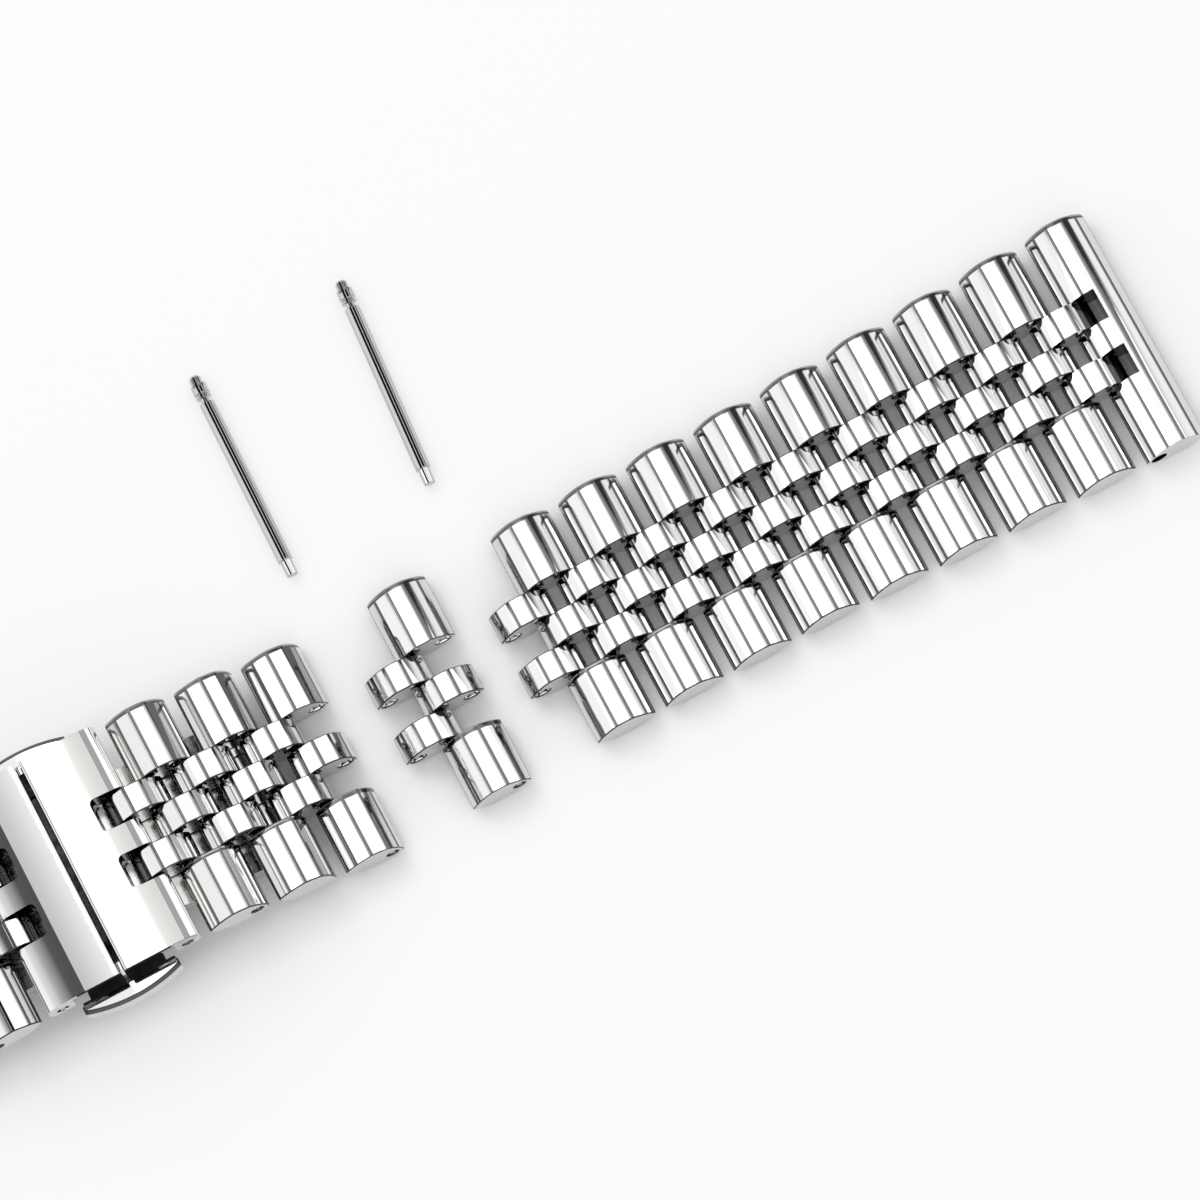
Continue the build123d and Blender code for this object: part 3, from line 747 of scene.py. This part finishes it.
for node, side in (("clasp_cover_long", 1), ("clasp_cover_short", -1)):
    cover = make_cover(side)
    mark_crease(cover, seam + side * cover_flat_reach)
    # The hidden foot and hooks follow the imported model
    packed = packed_mesh(node)
    bmesh.ops.bisect_plane(
        packed,
        geom=packed.verts[:] + packed.edges[:] + packed.faces[:],
        plane_co=(0, 0, cover_bottom + 0.02),
        plane_no=(0, 0, 1),
        clear_outer=True,
    )
    bmesh.ops.holes_fill(packed, edges=[edge for edge in packed.edges if edge.is_boundary])
    bmesh.ops.dissolve_limit(packed, angle_limit=radians(1), verts=packed.verts, edges=packed.edges)
    # Slots of the cover: its own finish with a painted reflection fade, the band painted darker as reflection, the
    # polish beyond, and dark steel painted as reflection on the near edges and as shade in the slots
    for face in cover.faces:
        middle = face.calc_center_median()
        if side > 0 and face.normal.z > 0.9 and cover_roll_start < middle.x - seam < cover_roll_end:
            face.material_index = 1
        elif side * (middle.x - seam) > (cover_roll_end if side > 0 else cover_flat_reach):
            face.material_index = 2
        if -0.97 < face.normal.y < -0.25 and middle.z > cover_top - 0.6:
            face.material_index = 3
        in_slot = abs(middle.x - seam) > cover_slot_reach - 0.01 and abs(face.normal.z) < 0.3
        if in_slot and abs(abs(middle.y) - row_pitch) < small_width / 2 + cover_slot_play + 0.01:
            face.material_index = 3
    whole = join([cover, packed])
    finish = long_cover_painted_steel if side > 0 else short_cover_painted_steel
    stand_for(to_mesh(whole, f"{node}_polished", finish, painted_roll_band_steel, polished_steel, painted_dark_steel, flat=True), node)


# Push buttons
def layered(outlines):
    """A body whose cross-sections are given from the top down, each as a ring of the same number of points."""
    bm = bmesh.new()
    rings = [[bm.verts.new(point) for point in outline] for outline in outlines]
    bm.faces.new(rings[0])
    bm.faces.new(rings[-1])
    for upper, lower in zip(rings, rings[1:]):
        for number in range(len(upper)):
            after = (number + 1) % len(upper)
            bm.faces.new([upper[number], upper[after], lower[after], lower[number]])
    bmesh.ops.recalc_face_normals(bm, faces=bm.faces)
    return bm


def crescent(facing, inset, depth):
    """Ring of the crescent's outline: straight inner edge, short ends and an arc, drawn in from the arc."""
    end, crest = 10.05 - inset, 10.7 - inset
    half = 4.05 - inset / 2
    rise = crest - end
    radius = (half * half + rise * rise) / (2 * rise)
    start = asin(half / radius)
    ring = [(seam - half, facing * button_inner, depth)]
    for step in range(25):
        turn = -start + 2 * start * step / 24
        ring.append((seam + radius * sin(turn), facing * (crest - radius + radius * cos(turn)), depth))
    ring.append((seam + half, facing * button_inner, depth))
    return ring


def make_button(node, facing):
    """Crescent button with a sloping rim, its thin stem in the seam, its shank and its latch bar."""
    slope = [(0.3, 0), (0.27, 0.02), (0.02, 0.2), (0, 0.23), (0, 1.7)]
    crown = layered([crescent(facing, inset, button_top - drop) for inset, drop in slope])
    crown.normal_update()
    # Slots of the button: polished, its slope painted darker as reflection, and the bead-blasted bars behind it, dark
    # as painted shade
    for face in crown.faces:
        face.material_index = 1 if 0.3 < face.normal.z < 0.95 else 0
    soften(crown, 0.04, 2, 50)
    right_half = [(0.15, 8.9), (0.18, button_inner - 0.16), (0.5, button_inner + 0.1)]
    stem = [(-x, y) for x, y in reversed(right_half)] + right_half
    points = [(seam + x, facing * y, button_top - 0.002) for x, y in stem]
    root = drawn_plate(points, (0, 0, -0.6), {1: (0.16, 4), 4: (0.16, 4)})
    soften(root, 0.03)

    def bar(half, near, far, low, high):
        low_y, high_y = sorted((facing * near, facing * far))
        body = block((seam - half, low_y, low), (seam + half, high_y, high))
        soften(body, 0.06)
        for face in body.faces:
            face.material_index = 2
        return body

    low, high = button_top - 0.5, cover_top - 0.3
    side_view = [(8.2, low), (8.2, high), (8.9, high), (9.38, button_top), (9.38, low)]
    fin = drawn_plate([(seam - 0.15, facing * y, z) for y, z in side_view], (0.3, 0, 0), {})
    soften(fin, 0.03)
    # These bars are dark steel; the collar and the brow also fill the notch under the cover, where shade falls:
    # painted shade
    shank = bar(2, 4.6, 9.5, button_top - 0.7, button_top - 0.3)
    collar = bar(3.2, 7.7, 9.5, button_top - 0.8, button_top - 0.35)
    brow = bar(3.9, 9.07, 9.5, button_top - 0.9, button_top - 0.4)
    latch = bar(3.4, 6.9, 7.7, button_top - 0.7, button_top)
    whole = join([crown, root, fin, shank, collar, brow, latch])
    stand_for(to_mesh(whole, f"{node}_polished", polished_steel, painted_dark_steel, blasted_painted_shade_steel, flat=True), node)


make_button("push_button_front", -1)
make_button("push_button_rear", 1)


# Folded strips, housing and hinge pins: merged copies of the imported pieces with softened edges
def soften_copy(node, material):
    bm = packed_mesh(node)
    soften(bm, 0.05, 2, 40)
    stand_for(to_mesh(bm, f"{node}_satin", material, flat=True), node)


for node in ("clasp_base", "clasp_arm_long", "clasp_arm_short", "clasp_hinge_pins"):
    soften_copy(node, satin_steel)
soften_copy("catch_housing", blasted_painted_shade_steel)


# Spring pins on the table
def turned(points, rounds, place, angle):
    """A solid turned about its own axis, from radius and distance pairs, laid down at a place and angle."""
    bm = bmesh.new()
    outline = [bm.verts.new((radius, along, 0)) for radius, along in points]
    edges = [bm.edges.new(pair) for pair in zip(outline, outline[1:])]
    bmesh.ops.spin(
        bm,
        geom=outline + edges,
        cent=(0, 0, 0),
        axis=(0, 1, 0),
        dvec=(0, 0, 0),
        angle=2 * pi,
        steps=40,
        use_merge=True,
    )
    bmesh.ops.remove_doubles(bm, verts=bm.verts, dist=1e-4)
    bmesh.ops.recalc_face_normals(bm, faces=bm.faces)
    round_over(bm, sharp_edges(bm, 35), rounds, 2)
    bm.normal_update()
    # The painted dark reflection line is as wide as two of the turned body's 40 faces, left of its top
    for face in bm.faces:
        if abs(face.normal.y) < 0.5 and -18.5 < lean_of(face) < 0:
            face.material_index = 1
    bmesh.ops.rotate(bm, verts=bm.verts, cent=(0, 0, 0), matrix=Matrix.Rotation(-angle, 3, "Z"))
    bmesh.ops.translate(bm, verts=bm.verts, vec=place)
    return bm


def make_spring_pin(number, reach, y, angle):
    """Tube with a plain tip, and the sprung plunger with its flange, groove and collar at the other end."""
    turn = radians(angle)
    half, flange = spring_pin_length / 2, 0.63
    tail = (seam + reach - half * sin(turn), y - half * cos(turn), table + flange)
    tube = [(0, 0), (0.45, 0), (0.45, 1.3), (0.6, 1.3), (0.6, 15.45), (0.36, 15.45), (0.36, 4.8), (0, 4.8)]
    plunger = [
        (0, 13.45),
        (0.34, 13.45),
        (0.34, 15.9),
        (0.6, 15.9),
        (0.6, 16.1),
        (0.52, 16.1),
        (0.52, 16.25),
        (flange, 16.25),
        (flange, 17.05),
        (0.475, 17.05),
        (0.475, 17.65),
        (0.3, spring_pin_length),
        (0, spring_pin_length),
    ]
    for name, outline, rounds in (("tube", tube, 0.05), ("plunger", plunger, 0.04)):
        node = f"loose_pin_{name}_{number}"
        body = turned(outline, rounds, tail, turn)
        stand_for(to_mesh(body, f"{node}_polished", pin_steel, painted_pin_line_steel, flat=True), node)
    make_spring(f"loose_pin_spring_{number}")


def make_spring(node):
    """A copy of a packed spring, with a mesh of its own."""
    spring = to_mesh(packed_mesh(node), f"{node}_drawn", spring_steel)
    for face in spring.data.polygons:
        face.use_smooth = False
    stand_for(spring, node)
    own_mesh(spring)


for end, facing in (("front", -1), ("rear", 1)):
    make_spring(f"button_spring_{end}")
make_spring_pin(1, 25.2, 23.0, 1.1)
make_spring_pin(2, 38.2, 24.3, 3.9)


# Table, light and surroundings
def lay_table():
    """A pale table that glows like a light table wherever the band doesn't lie: painted light that lifts the shadows
    there.
    """
    bm = bmesh.new()
    bmesh.ops.create_grid(bm, x_segments=8, y_segments=8, size=4)
    bmesh.ops.translate(bm, verts=bm.verts, vec=(0, 0, table * mm))
    mesh = bpy.data.meshes.new("table")
    bm.to_mesh(mesh)
    bm.free()
    material, tree = new_material("pale_table")
    place = add_node(tree, "ShaderNodeTexCoord").outputs["Object"]
    across = add_node(tree, "ShaderNodeSeparateXYZ", {"Vector": place}).outputs["Y"]
    away = add_node(tree, "ShaderNodeMath", {0: across}, operation="ABSOLUTE").outputs[0]
    clear = add_node(tree, "ShaderNodeMapRange", {"Value": away, "From Min": 8.5 * mm, "From Max": 12.5 * mm})
    paint = add_node(tree, "ShaderNodeBsdfDiffuse", {"Color": linear("#E8E9E9")})
    paint_under_glow = add_node(tree, "ShaderNodeBsdfDiffuse", {"Color": linear("#9FA0A0")})
    painted_glow = add_node(tree, "ShaderNodeEmission", {"Color": linear("#FFFFFF"), "Strength": 0.55})
    lit = add_node(tree, "ShaderNodeAddShader", {0: paint_under_glow.outputs[0], 1: painted_glow.outputs[0]})
    surface = add_node(tree, "ShaderNodeMixShader", {"Fac": clear.outputs[0], 1: paint.outputs[0], 2: lit.outputs[0]})
    finish_material(tree, surface)
    mesh.materials.append(material)
    floor = bpy.data.objects.new("table", mesh)
    bpy.context.scene.collection.objects.link(floor)


lay_table()


def shade_ramp(tree, value, stops):
    """A ramp over a direction's share along one axis, from -1 to 1."""
    across = add_node(tree, "ShaderNodeMapRange", {"Value": value, "From Min": -1, "From Max": 1})
    ramp_node = add_node(tree, "ShaderNodeValToRGB", {"Fac": across.outputs[0]})
    ramp = ramp_node.color_ramp
    ramp.elements.remove(ramp.elements[1])
    ramp.elements[0].position = 0
    ramp.elements[0].color = linear(stops[0][1])
    for place, colour in stops[1:]:
        ramp.elements.new((place + 1) / 2).color = linear(colour)
    return ramp_node.outputs[0]


def light_surroundings():
    """A pale tent. Metal sees it as a bright ceiling and bright sides with dark strips between them."""
    world = bpy.data.worlds.new("tent")
    world.use_nodes = True
    tree = world.node_tree
    tree.nodes.clear()
    bpy.context.scene.world = world
    direction = add_node(tree, "ShaderNodeTexCoord").outputs["Generated"]
    parts = add_node(tree, "ShaderNodeSeparateXYZ", {"Vector": direction})
    along_band = shade_ramp(
        tree,
        parts.outputs["X"],
        [
            (-1.0, "#F2F3F3"),
            (-0.90, "#F6F7F7"),
            (-0.86, "#EEEFEF"),
            (-0.46, "#F4F5F5"),
            (-0.37, "#ABACAC"),
            (-0.28, "#555556"),
            (-0.125, "#4A4A4B"),
            (-0.105, "#B9BABA"),
            (-0.06, "#F2F3F3"),
            (0.05, "#FFFFFF"),
            (0.09, "#FFFFFF"),
            (0.15, "#1C1C1D"),
            (0.62, "#262627"),
            (0.69, "#D2D3D3"),
            (0.76, "#E6E7E7"),
            (0.80, "#6A6A6B"),
            (0.915, "#747475"),
            (0.935, "#DADBDB"),
            (0.965, "#F4F5F5"),
            (1.0, "#CCCDCD"),
        ],
    )
    across_band = shade_ramp(
        tree,
        parts.outputs["Y"],
        [
            (-1.0, "#EDEEEE"),
            (-0.93, "#E6E7E7"),
            (-0.76, "#C8C9C9"),
            (-0.60, "#4A4A4B"),
            (-0.20, "#2A2A2B"),
            (-0.08, "#E8E9E9"),
            (-0.02, "#FFFFFF"),
            (0.40, "#FFFFFF"),
            (0.50, "#A2A3A3"),
            (0.68, "#9A9B9B"),
            (0.80, "#C8C9C9"),
            (1.0, "#DCDDDD"),
        ],
    )
    # The inner strips along the band end in front of it and behind it, so that lower views see pale metal
    off_middle = add_node(tree, "ShaderNodeMath", {0: parts.outputs["Y"], 1: 0.05}, operation="SUBTRACT")
    away = add_node(tree, "ShaderNodeMath", {0: off_middle.outputs[0]}, operation="ABSOLUTE")
    near = add_node(
        tree,
        "ShaderNodeMapRange",
        {"Value": away.outputs[0], "From Min": 0.38, "From Max": 0.5, "To Min": 1, "To Max": 0},
    )
    sideways = add_node(tree, "ShaderNodeMath", {0: parts.outputs["X"]}, operation="ABSOLUTE")
    outer = add_node(tree, "ShaderNodeMapRange", {"Value": sideways.outputs[0], "From Min": 0.68, "From Max": 0.74})
    kept = add_node(tree, "ShaderNodeMath", {0: near.outputs[0], 1: outer.outputs[0]}, operation="MAXIMUM")
    strips = add_node(tree, "ShaderNodeMix", data_type="RGBA")
    strips.inputs[6].default_value = linear("#F4F5F5")
    tree.links.new(kept.outputs[0], strips.inputs["Factor"])
    tree.links.new(along_band, strips.inputs[7])
    both = add_node(tree, "ShaderNodeMix", data_type="RGBA", blend_type="MULTIPLY")
    both.inputs["Factor"].default_value = 1
    tree.links.new(strips.outputs[2], both.inputs[6])
    tree.links.new(across_band, both.inputs[7])
    seen = add_node(tree, "ShaderNodeBackground", {"Color": both.outputs[2], "Strength": 1.35})
    plain = add_node(tree, "ShaderNodeBackground", {"Color": linear("#FFFFFF"), "Strength": 1.0})
    rays = add_node(tree, "ShaderNodeLightPath")
    mixed = add_node(tree, "ShaderNodeMixShader", {"Fac": rays.outputs["Is Glossy Ray"]})
    tree.links.new(plain.outputs[0], mixed.inputs[1])
    tree.links.new(seen.outputs[0], mixed.inputs[2])
    add_node(tree, "ShaderNodeOutputWorld", {"Surface": mixed.outputs[0]})


light_surroundings()


def hang_lamp(name, place, aim, size, power, for_metal=False):
    """A rectangular softbox, which either lights the pale surfaces or is only mirrored in the metal."""
    lamp = bpy.data.lights.new(name, "AREA")
    lamp.shape = "RECTANGLE"
    lamp.size, lamp.size_y = size
    lamp.energy = power
    holder = bpy.data.objects.new(name, lamp)
    bpy.context.scene.collection.objects.link(holder)
    place, aim = Vector(place), Vector(aim)
    holder.location = place
    if not for_metal:
        holder.rotation_euler = (place - aim).to_track_quat("Z", "Y").to_euler()
    holder.visible_glossy = for_metal
    holder.visible_diffuse = not for_metal


hang_lamp("softbox_behind", (-0.16, 0.35, 0.45), (-0.06, 0.05, 0), (0.4, 0.3), 0.8)
hang_lamp("softbox_in_front", (-0.1, -0.5, 0.3), (-0.08, -0.02, 0), (0.5, 0.3), 0.28)

# A long low softbox, mirrored in every facet but those of the far row and those left of the clasp's seam
ceiling = 20
eye = bpy.context.scene.camera.location / mm
mirrored_seam = seam + (ceiling - cover_top) * (seam - eye.x) / (eye.z - cover_top)
low_corner, high_corner = Vector((mirrored_seam, -10, ceiling)), Vector((62, 17, ceiling))
middle, spread = (low_corner + high_corner) / 2 * mm, (high_corner - low_corner) * mm
brightness = 1.34
hang_lamp("softbox_overhead", middle, middle, (spread.x, spread.y), brightness * pi * spread.x * spread.y, True)

bpy.context.scene.view_settings.view_transform = "Standard"
